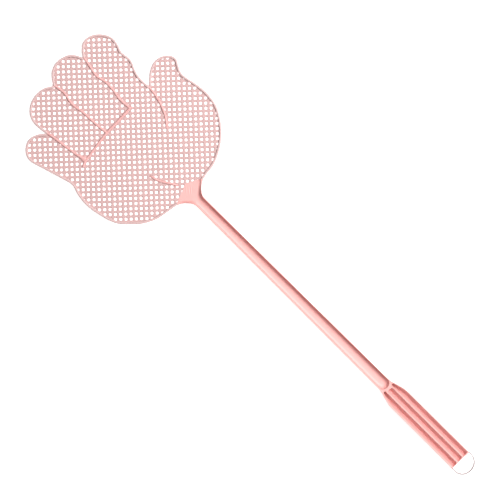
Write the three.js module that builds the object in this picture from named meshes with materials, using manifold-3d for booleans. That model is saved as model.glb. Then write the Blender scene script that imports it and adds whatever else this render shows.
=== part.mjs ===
// Hand-shaped fly swatter in pink polypropylene, lying on its back.
// Millimetres. X points to the thumb side, Y to the fingertips, Z out of the open front.
// The origin is on the stick's axis, under the middle of the neck plate.
import * as THREE from 'three';
import { mergeGeometries, mergeVertices } from 'three/addons/utils/BufferGeometryUtils.js';
import Module from 'manifold-3d';

const wasm = await Module();
wasm.setup();

// ---- Driving dimensions ----
const GAP = 0.3; // clearance between neighbouring pieces
const CURVE_STEPS = 3; // straight steps in each span of a smooth line
const ARC_STEPS = 5; // steps in each arc of the stick's section
const LOBE_STEPS = 8; // steps in each arc of the grip's section
const DISC_SIDES = 20;

const MESH_THICKNESS = 1.4;
const MESH_ANGLE = THREE.MathUtils.degToRad(46.75); // direction in which the rows of holes follow
const ROW_PITCH = 4.12;
const COLUMN_PITCH = 4.18;
const HOLE_SIDE = 2.3;
const LATTICE_CENTRE = [-8.78, 56.78]; // centre of one hole
const LATTICE_REACH = 32; // rows and columns tried each way from that hole
const MESH_BORDER = 0.6; // solid strip that the mesh keeps along its edges

const RIM_WIDTH = 2.0;
const RIM_HEIGHT = 2.6;
const RIDGE_WIDTH = 1.6;
const RIDGE_TOP = 2.5;

const WALL = 0.9;
const FLOOR = 1.3;
const NECK_END = -7.5; // where the neck meets the stick
const CLIMB_START = 3; // where the neck walls start to rise from the rim's height
const NECK_HALF_SPAN = 20; // wide enough to hold the whole neck
const STICK_DEPTH = 6;
const STICK_HALF_TOP = 4.65;
const STICK_HALF_BOTTOM = 5.6;
const STICK_END = -215.3;
const STICK_EDGE_RADIUS = 2.2;

const COLLAR_START = STICK_END - GAP;
const COLLAR_END = -221.6; // the troughs of the grip start here
const COLLAR_TOP = 7;
const CHANNEL_END_RADIUS = 4.3;

const GRIP_DEPTH = 8;
const GRIP_HALF_WIDTH = 9.5;
const GRIP_END = -301.6;
const END_WALL = 1;
const TROUGH_PITCH = 6.1;
const TROUGH_RADIUS = 2.5;
const LOBE_RADIUS = TROUGH_RADIUS + WALL;
const TRAY_TOP = 3; // the tray of three lobes ends here and the walls and ribs stand on it
const RIB_FOOT = 1.3;
const RIB_CREST = 0.8;
const RIB_TOP = 7.6;

const LOOP_THICKNESS = 1;
const LOOP_LOW = 1.5;
const LOOP_HIGH = 6.5;
const LOOP_HALF_WIDTH = 9.3; // to the middle of the band
const LOOP_REACH = 8.8; // from its centre to the middle of the band at the far end
const LOOP_CENTRE = -304.5;
const LOOP_FACETS = 15; // an odd number leaves a flat facet at the far end

// ---- Outline of the hand, clockwise from the neck, one list for each stretch of rim ----
const OUTLINE = {
  heel_left: [
    [-14.4, 2], [-18.2, 3], [-24.4, 4], [-34, 6], [-44, 11], [-53, 19], [-60, 27.7], [-64.3, 41],
    [-66.1, 53], [-65.3, 63.5], [-62.7, 73.5],
  ],
  little_finger: [
    [-62.7, 73.5], [-64.6, 82], [-69.4, 98], [-72.8, 111], [-71.6, 116.3], [-67, 121.4], [-60.6, 123.7],
    [-53.2, 121.4], [-48.3, 117.2],
  ],
  ring_finger: [
    [-48.3, 117.2], [-49.3, 125.8], [-48.9, 132], [-45.6, 138.4], [-39.4, 143], [-32, 144.9],
    [-23.6, 143.9], [-17.2, 140],
  ],
  middle_finger: [
    [-17.2, 140], [-14.3, 144.2], [-10.2, 148.6], [-4, 151.3], [2, 151.3], [8.4, 149.1], [13.2, 144.4],
    [15.6, 139.2],
  ],
  index_finger: [
    [15.6, 139.2], [18.5, 143.3], [23.7, 147.4], [29.7, 147.8], [35.2, 145.6], [40.7, 140.2], [43.6, 133],
    [42.6, 125.8], [40.8, 121], [41.1, 116], [41.5, 111.5], [40.7, 107.9], [37.8, 101.5], [36.5, 96],
    [36.4, 90], [36.6, 85.3],
  ],
  thumb: [
    [36.6, 85.3], [41.2, 89.8], [47, 94.1], [54.1, 96.4], [61.3, 94.8], [66.7, 89.8], [67.6, 85.3],
    [65.2, 80.5], [62.7, 75.5], [62.6, 70], [64.2, 62.5],
  ],
  heel_right: [
    [64.2, 62.5], [65.5, 53], [65.4, 45], [63.3, 35.4], [58.1, 26.2], [51, 17.7], [42.7, 11.1], [34, 6.4],
    [28, 4.3], [16.6, 3], [14.2, 2],
  ],
};
const NECK_RIGHT = [[14.2, 2], [10.7, 0], [7.6, -3], [5.9, -5.1], [4.9, NECK_END]];
const NECK_TOP = [[-13.2, 4.8], [-4.4, 7.2], [1.6, 10], [8, 7], [14.4, 4.8]];
const NECK_CORNER = [18, 1.5]; // the neck's zone widens to here, under the rim
const GRIP_FLARE_RIGHT = [
  [STICK_HALF_BOTTOM, COLLAR_START], [6, -218], [6.7, -220.6], [7.7, -224], [8.7, -228], [9.3, -231],
  [GRIP_HALF_WIDTH, -234],
];

// ---- Creases of the hand, drawn as raised lines ----
const CREASES = {
  little_ring: [[-48.3, 117.2], [-47, 109], [-45.5, 98], [-43.8, 87], [-42.2, 81]],
  ring_middle: [[-17.2, 140], [-15.8, 130], [-17.7, 119], [-16.2, 108], [-15.7, 96], [-14.5, 83.5]],
  middle_index: [[15.6, 139.2], [13.5, 129], [12, 121.5], [13.8, 112], [13.3, 103], [12, 95], [12.5, 84.3]],
  finger_bases: [
    [-46, 78], [-42.2, 79.6], [-33, 81], [-23, 82.5], [-14.5, 83.5], [-1, 83.8], [12.5, 84.3], [14.6, 84.5],
  ],
  thumb: [[36.6, 85.3], [35.6, 77], [33.2, 68], [29, 59], [23, 51.2]],
  wrist: [[-14.5, 34], [-12.5, 27], [-9.2, 21], [-6, 16], [-4.2, 12.6]],
};
const SPLIT_CREASES = ['little_ring', 'ring_middle', 'middle_index', 'finger_bases', 'thumb'];
// Control points of finger_bases at which the creases between the fingers arrive.
const LITTLE_CORNER = 1;
const MIDDLE_CORNER = 4;
const INDEX_CORNER = 6;

// ---- Cuts down the middle of a bar, from one [row, column] of the mesh to another ----
const BAR_CUTS = {
  little_finger: [[-1.46, -9.5], [-12, -9.5]],
  index_finger: [[8.4, -0.8], [8.5, 5.67]],
  thumb: [[4.5, 6.45], [4.5, 20]],
};

// ---- Points outside the outline that close the plan area of each finger ----
const ABOVE_LITTLE = [-56, 130];
const ABOVE_RING = [-19, 155];
const ABOVE_INDEX = [18, 155];
const PAST_INDEX = [60, 155];
const BESIDE_THUMB = [[40, 97], [60, 120]];
const PAST_THUMB = [[95, 0], [95, 120]];
const PAST_LITTLE = [[-95, 40], [-95, 130]];

// ---- Materials ----
function plastic(colour, roughness) {
  return new THREE.MeshStandardMaterial({ color: colour, roughness, metalness: 0 });
}

const meshPlastic = plastic(0xf3c9c6, 0.5);
const rimPlastic = plastic(0xefbcb8, 0.45);
const stickPlastic = plastic(0xf8bcb6, 0.4);

// ---- Solids and geometries ----
function toSolid(geometry) {
  geometry.deleteAttribute('normal');
  geometry.deleteAttribute('uv');
  const merged = mergeVertices(geometry, 1e-5);
  return new wasm.Manifold(new wasm.Mesh({
    numProp: 3,
    vertProperties: merged.attributes.position.array,
    triVerts: new Uint32Array(merged.index.array),
  }));
}

function toGeometry(solid) {
  const { vertProperties, triVerts } = solid.getMesh();
  const geometry = new THREE.BufferGeometry();
  geometry.setAttribute('position', new THREE.BufferAttribute(vertProperties, 3));
  geometry.setIndex(new THREE.BufferAttribute(triVerts, 1));
  geometry.computeVertexNormals();
  return geometry;
}

const group = new THREE.Group();
group.name = 'fly_swatter';

function addPiece(name, solid, material) {
  const mesh = new THREE.Mesh(toGeometry(solid), material);
  mesh.name = name;
  group.add(mesh);
  return solid;
}

// ---- Lines in the plane of the hand ----
function vectors(points) {
  return points.map(([x, y]) => new THREE.Vector2(x, y));
}

function mirrored(points) {
  return points.map(([x, y]) => [-x, y]).reverse();
}

function smooth(points) {
  const curve = new THREE.CatmullRomCurve3(points.map(([x, y]) => new THREE.Vector3(x, y, 0)));
  const count = (points.length - 1) * CURVE_STEPS;
  return curve.getPoints(count).map(({ x, y }) => new THREE.Vector2(x, y));
}

function shortened(line, startCut, endCut) {
  const result = line.map((point) => point.clone());
  const last = result.length - 1;
  result[0].add(line[1].clone().sub(line[0]).setLength(startCut));
  result[last].add(line[last - 1].clone().sub(line[last]).setLength(endCut));
  return result;
}

function offset(line, distance) {
  return line.map((point, i) => {
    const before = line[Math.max(i - 1, 0)];
    const after = line[Math.min(i + 1, line.length - 1)];
    const along = after.clone().sub(before).normalize();
    return new THREE.Vector2(point.x + along.y * distance, point.y - along.x * distance);
  });
}

// ---- Solids standing on the plane of the hand ----
function slab(outline, low, high) {
  const corners = outline.filter((point, i) => point.distanceTo(outline.at(i - 1)) > 0.001);
  const geometry = new THREE.ExtrudeGeometry(new THREE.Shape(corners), {
    depth: high - low,
    bevelEnabled: false,
  });
  return toSolid(geometry.translate(0, 0, low));
}

// A strip that follows a line, reaching `left` and `right` of it.
function strip(line, left, right, low, high) {
  return slab([...offset(line, -left), ...offset(line, right).reverse()], low, high);
}

function disc(centre, radius, low, high) {
  const geometry = new THREE.CylinderGeometry(radius, radius, high - low, DISC_SIDES);
  return toSolid(geometry.rotateX(Math.PI / 2).translate(centre.x, centre.y, (low + high) / 2));
}

// A section in X and Z, carried along Y from `start` down to `end`, and `widening` times wider there.
function runner(section, start, end, widening = 1) {
  const geometry = new THREE.ExtrudeGeometry(new THREE.Shape(section), {
    depth: start - end,
    bevelEnabled: false,
  });
  geometry.rotateX(Math.PI / 2).translate(0, start, 0);
  const { position } = geometry.attributes;
  for (let i = 0; i < position.count; i += 1) {
    const done = (start - position.getY(i)) / (start - end);
    position.setX(i, position.getX(i) * THREE.MathUtils.lerp(1, widening, done));
  }
  return toSolid(geometry);
}

// ---- The hand ----
const TOOL_LOW = -1;
const TOOL_HIGH = 12;
const PIN_PROUD = 1; // how far a hole's pin passes the mesh on each face
const OUTSIDE = 3; // how far a cutting tool reaches past the outline

const rimLines = Object.fromEntries(
  Object.entries(OUTLINE).map(([name, points]) => [name, smooth(points)]),
);
const creaseLines = Object.fromEntries(
  Object.entries(CREASES).map(([name, points]) => [name, smooth(points)]),
);
const neckRight = smooth(NECK_RIGHT);
const neckLeft = smooth(mirrored(NECK_RIGHT));

function handOutline() {
  const corners = Object.values(rimLines).flatMap((line) => line.slice(0, -1));
  return [...corners, rimLines.heel_right.at(-1)];
}

// Everything within `depth` of the outer edge.
function edgeZone(depth) {
  return Object.values(rimLines).reduce((zone, line) => {
    const band = strip(line, OUTSIDE, depth, TOOL_LOW, TOOL_HIGH);
    return zone.add(band).add(disc(line[0], depth, TOOL_LOW, TOOL_HIGH));
  }, disc(rimLines.heel_right.at(-1), depth, TOOL_LOW, TOOL_HIGH));
}

function creaseZone(names, halfWidth) {
  return names
    .map((name) => strip(creaseLines[name], halfWidth, halfWidth, TOOL_LOW, TOOL_HIGH))
    .reduce((zone, wall) => zone.add(wall));
}

// The triangle of plain plastic where the palm runs into the stick, grown by `margin` at the top.
function neckZone(margin) {
  const top = NECK_TOP.map(([x, y]) => [x, y + margin]);
  const [side, low] = NECK_CORNER;
  const corners = [[-side, low], ...top, [side, low], [side, NECK_END], [-side, NECK_END]];
  return slab(vectors(corners), TOOL_LOW, TOOL_HIGH);
}

function latticePoint(row, column) {
  const along = row * ROW_PITCH;
  const across = column * COLUMN_PITCH;
  return new THREE.Vector2(
    LATTICE_CENTRE[0] + along * Math.cos(MESH_ANGLE) + across * Math.sin(MESH_ANGLE),
    LATTICE_CENTRE[1] + along * Math.sin(MESH_ANGLE) - across * Math.cos(MESH_ANGLE),
  );
}

function distanceToLine(point, line) {
  const segment = new THREE.Line3();
  const nearest = new THREE.Vector3();
  const target = new THREE.Vector3(point.x, point.y, 0);
  return line.slice(1).reduce((least, end, i) => {
    segment.start.set(line[i].x, line[i].y, 0);
    segment.end.set(end.x, end.y, 0);
    segment.closestPointToPoint(target, true, nearest);
    return Math.min(least, nearest.distanceTo(target));
  }, Infinity);
}

function insideOutline(point, outline) {
  return outline.reduce((inside, corner, i) => {
    const previous = outline.at(i - 1);
    const crosses = (corner.y > point.y) !== (previous.y > point.y);
    const slope = (previous.x - corner.x) / (previous.y - corner.y);
    return crosses && point.x < slope * (point.y - corner.y) + corner.x ? !inside : inside;
  }, false);
}

// Holes whose centre lies in the open mesh, so that no sliver of a hole is left.
function holeCentres() {
  const outline = handOutline();
  const least = RIM_WIDTH + GAP + MESH_BORDER;
  const centres = [];
  for (let row = -LATTICE_REACH; row <= LATTICE_REACH; row += 1) {
    for (let column = -LATTICE_REACH; column <= LATTICE_REACH; column += 1) {
      const centre = latticePoint(row, column);
      const clear = insideOutline(centre, outline)
        && Object.values(rimLines).every((line) => distanceToLine(centre, line) > least)
        && SPLIT_CREASES.every((name) => distanceToLine(centre, creaseLines[name]) > RIDGE_WIDTH / 2);
      if (clear) centres.push(centre);
    }
  }
  return centres;
}

function holePins() {
  const pins = holeCentres().map(({ x, y }) => {
    const pin = new THREE.BoxGeometry(HOLE_SIDE, HOLE_SIDE, MESH_THICKNESS + 2 * PIN_PROUD);
    return pin.rotateZ(MESH_ANGLE).translate(x, y, MESH_THICKNESS / 2);
  });
  return toSolid(mergeGeometries(pins));
}

function perforatedPlate() {
  const blank = slab(handOutline(), 0, MESH_THICKNESS);
  const keptSolid = edgeZone(RIM_WIDTH + GAP + MESH_BORDER)
    .add(creaseZone(SPLIT_CREASES, RIDGE_WIDTH / 2))
    .add(neckZone(GAP + MESH_BORDER));
  const plate = blank.subtract(edgeZone(RIM_WIDTH + GAP)).subtract(neckZone(GAP));
  return plate.subtract(holePins().subtract(keptSolid));
}

// ---- The mesh, split under the creases and, where no crease runs, down the middle of a bar ----
function barCut(ends) {
  return ends.map(([row, column]) => latticePoint(row, column));
}

const barCuts = Object.fromEntries(
  Object.entries(BAR_CUTS).map(([name, ends]) => [name, barCut(ends)]),
);

function splitWalls() {
  const along = creaseZone(SPLIT_CREASES, GAP / 2);
  return Object.values(barCuts)
    .map((line) => strip(line, GAP / 2, GAP / 2, TOOL_LOW, TOOL_HIGH))
    .reduce((walls, wall) => walls.add(wall), along);
}

// The stretch of the finger bases from one of its control points to another.
function fingerBases(from, to) {
  return creaseLines.finger_bases.slice(from * CURVE_STEPS, to * CURVE_STEPS + 1);
}

// The plan area that belongs to each finger; the palm is what is left.
function fingerAreas() {
  const littleRing = creaseLines.little_ring;
  const ringMiddle = creaseLines.ring_middle;
  const middleIndex = creaseLines.middle_index;
  const thumbAboveCut = creaseLines.thumb.filter(({ y }) => y > barCuts.index_finger[1].y + GAP);
  const thumbToCut = creaseLines.thumb.filter(({ y }) => y > barCuts.thumb[0].y);
  const aboveLittle = new THREE.Vector2(...ABOVE_LITTLE);
  const aboveRing = new THREE.Vector2(...ABOVE_RING);
  const aboveIndex = new THREE.Vector2(...ABOVE_INDEX);
  return {
    little_finger: [
      aboveLittle,
      ...littleRing,
      ...fingerBases(LITTLE_CORNER, LITTLE_CORNER),
      ...barCuts.little_finger,
      ...vectors(PAST_LITTLE),
    ],
    ring_finger: [
      aboveLittle,
      ...littleRing,
      ...fingerBases(LITTLE_CORNER, MIDDLE_CORNER),
      ...ringMiddle.toReversed(),
      aboveRing,
    ],
    middle_finger: [
      aboveRing,
      ...ringMiddle,
      ...fingerBases(MIDDLE_CORNER, INDEX_CORNER),
      ...middleIndex.toReversed(),
      aboveIndex,
    ],
    index_finger: [
      aboveIndex,
      ...middleIndex,
      ...barCuts.index_finger,
      ...thumbAboveCut.toReversed(),
      ...vectors([...BESIDE_THUMB, PAST_INDEX]),
    ],
    thumb: [
      ...vectors(BESIDE_THUMB.toReversed()),
      ...thumbToCut,
      ...barCuts.thumb,
      ...vectors(PAST_THUMB),
    ],
  };
}

function makeMesh() {
  let rest = perforatedPlate().subtract(splitWalls());
  Object.entries(fingerAreas()).forEach(([name, area]) => {
    const prism = slab(area, TOOL_LOW, TOOL_HIGH);
    addPiece(`mesh_${name}`, rest.intersect(prism), meshPlastic);
    rest = rest.subtract(prism);
  });
  addPiece('mesh_palm', rest, meshPlastic);
}

function makeRims() {
  Object.entries(rimLines).forEach(([name, line]) => {
    const band = strip(shortened(line, GAP / 2, GAP / 2), 0, RIM_WIDTH, 0, RIM_HEIGHT);
    addPiece(`rim_${name}`, band, rimPlastic);
  });
}

function makeRidges() {
  const edge = edgeZone(RIM_WIDTH + GAP);
  const low = MESH_THICKNESS + GAP;
  const half = RIDGE_WIDTH / 2;
  const bases = creaseZone(['finger_bases'], half + GAP);
  Object.entries(creaseLines).forEach(([name, line]) => {
    const ridge = strip(line, half, half, low, RIDGE_TOP).subtract(edge);
    addPiece(`ridge_${name}`, name === 'finger_bases' ? ridge : ridge.subtract(bases), rimPlastic);
  });
}

// ---- The neck ----
// Everything above the line on which the neck walls climb from the rim to the stick.
function aboveNeckWalls() {
  const slope = [
    [CLIMB_START, RIM_HEIGHT], [NECK_END, STICK_DEPTH], [NECK_END, TOOL_HIGH], [CLIMB_START, TOOL_HIGH],
  ];
  const geometry = new THREE.ExtrudeGeometry(new THREE.Shape(vectors(slope)), {
    depth: 2 * NECK_HALF_SPAN,
    bevelEnabled: false,
  });
  const axes = new THREE.Matrix4().makeBasis(
    new THREE.Vector3(0, 1, 0),
    new THREE.Vector3(0, 0, 1),
    new THREE.Vector3(1, 0, 0),
  );
  return toSolid(geometry.applyMatrix4(axes).translate(-NECK_HALF_SPAN, 0, 0));
}

function makeNeck() {
  const above = aboveNeckWalls();
  const walls = { neck_wall_left: neckLeft, neck_wall_right: neckRight };
  Object.entries(walls).forEach(([name, line]) => {
    const wall = strip(shortened(line, GAP / 2, GAP / 2), 0, WALL, 0, STICK_DEPTH);
    addPiece(name, wall.subtract(above), stickPlastic);
  });
  const plate = slab([...vectors(NECK_TOP), ...neckRight, ...neckLeft], 0, FLOOR)
    .subtract(edgeZone(RIM_WIDTH + GAP))
    .subtract(strip(neckRight, OUTSIDE, WALL + GAP, TOOL_LOW, TOOL_HIGH))
    .subtract(strip(neckLeft, OUTSIDE, WALL + GAP, TOOL_LOW, TOOL_HIGH));
  addPiece('neck_plate', plate, stickPlastic);
}

// ---- The stick, a channel open to the front ----
function channelSection() {
  const half = STICK_HALF_TOP;
  const outer = STICK_EDGE_RADIUS;
  const inner = outer - WALL;
  const section = new THREE.Shape();
  section.moveTo(-half, STICK_DEPTH);
  section.absarc(-half + outer, outer, outer, Math.PI, 1.5 * Math.PI, false);
  section.absarc(half - outer, outer, outer, 1.5 * Math.PI, 2 * Math.PI, false);
  section.lineTo(half, STICK_DEPTH);
  section.lineTo(half - WALL, STICK_DEPTH);
  section.absarc(half - outer, outer, inner, 2 * Math.PI, 1.5 * Math.PI, true);
  section.absarc(-half + outer, outer, inner, 1.5 * Math.PI, Math.PI, true);
  section.lineTo(-half + WALL, STICK_DEPTH);
  return section.getPoints(ARC_STEPS);
}

function makeStick() {
  const start = NECK_END - GAP / 2;
  const widening = STICK_HALF_BOTTOM / STICK_HALF_TOP;
  addPiece('stick_channel', runner(channelSection(), start, STICK_END, widening), stickPlastic);
}

// ---- The grip: a tray of three lobes with walls and ribs standing on it ----
const gripRight = [...smooth(GRIP_FLARE_RIGHT), new THREE.Vector2(GRIP_HALF_WIDTH, GRIP_END)];
const gripLeft = gripRight.map(({ x, y }) => new THREE.Vector2(-x, y)).reverse();

function gripBlock(low, high, start, end) {
  const length = new THREE.BoxGeometry(4 * GRIP_HALF_WIDTH, start - end, 4 * GRIP_DEPTH);
  return slab([...gripLeft, ...gripRight], low, high)
    .intersect(toSolid(length.translate(0, (start + end) / 2, 0)));
}

// Underside of the lobes from the left edge to the right one, as arcs that meet in two valleys.
function lobeArcs(section) {
  const rim = Math.asin((LOBE_RADIUS - TRAY_TOP) / LOBE_RADIUS);
  const valley = Math.acos(TROUGH_PITCH / 2 / LOBE_RADIUS);
  section.absarc(-TROUGH_PITCH, LOBE_RADIUS, LOBE_RADIUS, Math.PI + rim, 2 * Math.PI - valley, false);
  section.absarc(0, LOBE_RADIUS, LOBE_RADIUS, Math.PI + valley, 2 * Math.PI - valley, false);
  section.absarc(TROUGH_PITCH, LOBE_RADIUS, LOBE_RADIUS, Math.PI + valley, 2 * Math.PI - rim, false);
}

function traySection() {
  const section = new THREE.Shape();
  lobeArcs(section);
  const edge = Math.asin((LOBE_RADIUS - TRAY_TOP) / TROUGH_RADIUS);
  [TROUGH_PITCH, 0, -TROUGH_PITCH].forEach((centre) => {
    section.absarc(centre, LOBE_RADIUS, TROUGH_RADIUS, 2 * Math.PI - edge, Math.PI + edge, true);
  });
  return section.getPoints(LOBE_STEPS);
}

function endWallSection() {
  const section = new THREE.Shape();
  lobeArcs(section);
  section.lineTo(GRIP_HALF_WIDTH, GRIP_DEPTH);
  section.lineTo(-GRIP_HALF_WIDTH, GRIP_DEPTH);
  return section.getPoints(LOBE_STEPS);
}

function makeCollar() {
  const channelEnd = disc(new THREE.Vector2(0, COLLAR_START), CHANNEL_END_RADIUS, FLOOR, TOOL_HIGH);
  const block = gripBlock(0, COLLAR_TOP, COLLAR_START, COLLAR_END);
  addPiece('grip_collar', block.subtract(channelEnd), stickPlastic);
}

function makeGrip() {
  const start = COLLAR_END - GAP;
  const end = GRIP_END + END_WALL + GAP;
  const foot = TRAY_TOP + GAP;
  const outline = gripBlock(0, TRAY_TOP, start, end);
  addPiece('grip_tray', runner(traySection(), start, end).intersect(outline), stickPlastic);

  const room = gripBlock(foot, GRIP_DEPTH, start, end);
  Object.entries({ grip_wall_right: gripRight, grip_wall_left: gripLeft }).forEach(([name, line]) => {
    addPiece(name, strip(line, 0, WALL, foot, GRIP_DEPTH).intersect(room), stickPlastic);
  });

  const rib = [
    [-RIB_FOOT / 2, foot], [RIB_FOOT / 2, foot], [RIB_CREST / 2, RIB_TOP], [-RIB_CREST / 2, RIB_TOP],
  ];
  const ribCentres = { grip_rib_left: -TROUGH_PITCH / 2, grip_rib_right: TROUGH_PITCH / 2 };
  Object.entries(ribCentres).forEach(([name, centre]) => {
    const section = rib.map(([x, z]) => [x + centre, z]);
    addPiece(name, runner(vectors(section), start, end), stickPlastic);
  });

  const endWall = runner(endWallSection(), end - GAP, GRIP_END);
  addPiece('grip_end_wall', endWall.intersect(gripBlock(0, GRIP_DEPTH, end, GRIP_END)), stickPlastic);
}

// ---- The hanging loop ----
function makeLoop() {
  const arc = Array.from({ length: LOOP_FACETS + 1 }, (_, i) => {
    const angle = (Math.PI * i) / LOOP_FACETS;
    return [LOOP_HALF_WIDTH * Math.cos(angle), LOOP_CENTRE - LOOP_REACH * Math.sin(angle)];
  });
  const foot = GRIP_END - GAP;
  const line = vectors([[LOOP_HALF_WIDTH, foot], ...arc, [-LOOP_HALF_WIDTH, foot]]);
  const half = LOOP_THICKNESS / 2;
  addPiece('hang_loop', strip(line, half, half, LOOP_LOW, LOOP_HIGH), stickPlastic);
}

makeRims();
makeMesh();
makeRidges();
makeNeck();
makeStick();
makeCollar();
makeGrip();
makeLoop();

export default group;
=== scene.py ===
import bmesh
import bpy
import numpy as np
from bpy.props import FloatProperty, FloatVectorProperty, IntProperty, PointerProperty
from bpy.types import Operator, Panel, PropertyGroup
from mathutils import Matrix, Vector


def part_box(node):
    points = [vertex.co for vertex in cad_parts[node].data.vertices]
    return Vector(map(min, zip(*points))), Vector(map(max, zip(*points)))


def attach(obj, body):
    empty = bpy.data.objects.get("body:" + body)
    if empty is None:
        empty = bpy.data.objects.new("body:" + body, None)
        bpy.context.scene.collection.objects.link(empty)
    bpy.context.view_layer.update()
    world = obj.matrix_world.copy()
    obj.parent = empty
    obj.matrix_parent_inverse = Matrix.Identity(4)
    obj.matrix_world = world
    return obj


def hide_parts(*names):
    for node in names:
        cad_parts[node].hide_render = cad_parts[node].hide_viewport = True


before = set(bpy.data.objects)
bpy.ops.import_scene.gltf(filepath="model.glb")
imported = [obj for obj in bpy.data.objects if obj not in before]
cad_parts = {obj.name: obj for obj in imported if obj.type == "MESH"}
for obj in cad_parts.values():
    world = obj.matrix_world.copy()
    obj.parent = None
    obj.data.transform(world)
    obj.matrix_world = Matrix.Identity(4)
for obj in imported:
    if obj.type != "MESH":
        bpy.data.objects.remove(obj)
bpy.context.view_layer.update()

bl_info = {
    "name": "Moulded Hand Swatter",
    "version": (1, 0, 0),
    "blender": (4, 5, 0),
    "location": "3D View > Sidebar > Swatter",
    "description": "Builds a hand-shaped fly swatter in moulded plastic round its packed frame",
    "category": "Object",
}

MM = 0.001

# The outline of the hand in millimetres, clockwise from the neck. A run is smooth from end to end; two
# runs meet in the notch between two fingers. A run that holds two stretches of rim is parted at a point.
HEEL_LEFT = [
    (-14.2, 2), (-18.2, 3), (-24.4, 4), (-34, 6), (-44, 11), (-53, 19), (-60, 27.7),
    (-64.3, 41), (-66.1, 53), (-65.3, 63.5), (-62.7, 73.5),
]
LITTLE_FINGER = [
    (-62.7, 73.5), (-64.6, 82), (-69.4, 98), (-72.8, 111), (-71.6, 116.3), (-67, 121.4),
    (-60.6, 123.7), (-53.2, 121.4), (-48.3, 117.2),
]
RING_FINGER = [
    (-48.3, 117.2), (-49.3, 125.8), (-48.9, 132), (-45.6, 138.4), (-39.4, 143), (-32, 144.9),
    (-23.6, 143.9), (-17.2, 140),
]
MIDDLE_FINGER = [
    (-17.2, 140), (-14.3, 144.2), (-10.2, 148.6), (-4, 151.3), (2, 151.3), (8.4, 149.1),
    (13.2, 144.4), (15.6, 139.2),
]
INDEX_FINGER = [
    (15.6, 139.2), (18.5, 143.3), (23.7, 147.4), (29.7, 147.8), (35.2, 145.6), (40.7, 140.2),
    (43.6, 133), (42.6, 125.8), (40.8, 121), (41.1, 116), (41.5, 111.5), (40.7, 107.9), (37.8, 101.5),
    (36.5, 96), (36.4, 90), (36.6, 85.3),
]
THUMB = [
    (36.6, 85.3), (41.2, 89.8), (47, 94.1), (54.1, 96.4), (61.3, 94.8), (66.7, 89.8), (67.6, 85.3),
    (65.2, 80.5), (62.7, 75.5), (62.6, 70), (64.2, 62.5),
]
HEEL_RIGHT = [
    (64.2, 62.5), (65.5, 53), (65.4, 45), (63.3, 35.4), (58.1, 26.2), (51, 17.7), (42.7, 11.1),
    (34, 6.4), (28, 4.3), (18.2, 3), (14.2, 2),
]
NECK_SIDE = [(14.2, 2), (10.7, 0), (7.6, -3), (5.9, -5.1), (4.9, -7.5), (4.66, -10)]
NECK_SIDE_LEFT = [(-x, y) for x, y in reversed(NECK_SIDE)]
RUNS = [
    (NECK_SIDE_LEFT + HEEL_LEFT[1:] + LITTLE_FINGER[1:], {
        "heel_left": (HEEL_LEFT[0], HEEL_LEFT[-1]), "little_finger": (HEEL_LEFT[-1], LITTLE_FINGER[-1]),
    }),
    (RING_FINGER, {"ring_finger": (RING_FINGER[0], RING_FINGER[-1])}),
    (MIDDLE_FINGER, {"middle_finger": (MIDDLE_FINGER[0], MIDDLE_FINGER[-1])}),
    (INDEX_FINGER, {"index_finger": (INDEX_FINGER[0], INDEX_FINGER[-1])}),
    (THUMB + HEEL_RIGHT[1:] + NECK_SIDE[1:], {
        "thumb": (THUMB[0], THUMB[-1]), "heel_right": (THUMB[-1], HEEL_RIGHT[-1]),
    }),
]

# Creases of the hand in millimetres.
CREASES = {
    "little_ring": [(-48.3, 117.2), (-47, 109), (-45.5, 98), (-43.8, 87), (-42.2, 81)],
    "ring_middle": [(-17.2, 140), (-15.8, 130), (-17.7, 119), (-16.2, 108), (-15.7, 96), (-14.5, 83.5)],
    "middle_index": [
        (15.6, 139.2), (13.5, 129), (12, 121.5), (13.8, 112), (13.3, 103), (12, 95), (12.5, 84.3),
    ],
    "finger_bases": [
        (-46, 78), (-42.2, 79.6), (-33, 81), (-23, 82.5), (-14.5, 83.5), (-1, 83.8), (12.5, 84.3),
        (14.6, 84.5),
    ],
    "thumb": [(36.6, 85.3), (35.6, 77), (33.2, 68), (29, 59), (23, 51.2)],
    "wrist": [(-14.5, 34), (-12.5, 27), (-9.2, 21), (-6, 16), (-4.2, 12.6)],
}

# How far each crease lies to the right of its line, in millimetres.
CREASE_SHIFT = {
    "little_ring": -1.1, "ring_middle": -0.9, "middle_index": -0.9,
    "finger_bases": 0.5, "thumb": 0.3, "wrist": -0.9,
}

# Shares of a crease's length over which it rises out of the web, and sinks into it again.
FADE_IN = {"wrist": 0.15}
FADE_OUT = {"thumb": 0.12, "wrist": 0.12}
FADE_LEAST = 0.02
TIP_WIDTH = 0.45  # width of a faded tip as a share of the full width
CREASE_ROOT = 0.45  # share of the web's thickness at which a crease starts
JUNCTION_LENGTH = 0.14  # share of a crease's length over which it widens towards another
JUNCTION_SWELL = 1.3

# Edge of the plain plate between the palm and the neck, and the flare of the grip's right side, in millimetres.
NECK_TOP = [(-13.3, 3.9), (-4.4, 7.2), (1.6, 10), (8, 7), (13.3, 3.9)]
FLARE_SIDE = [(5.6, -215.6), (6, -218), (6.7, -220.6), (7.7, -224), (8.7, -228), (9.3, -231), (9.5, -234)]

# Places along the stick, as y in millimetres.
PALM_START = 2  # the web's outline begins above this
STICK_START = -9
STICK_FINE_END = -13  # rows lie close together down to here
STICK_END = -213  # the collar begins
CHANNEL_END = -215  # middle of the channel's round end
COLLAR_SPLIT = -219.85  # the collar ends and the troughs begin
OUTER_TROUGHS_START = -220.6
MIDDLE_TROUGH_START = -222.6
FLARE_FINE_END = -225  # rows lie closest together down to here
FLARE_END = -236
GRIP_END = -301.6

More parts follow.
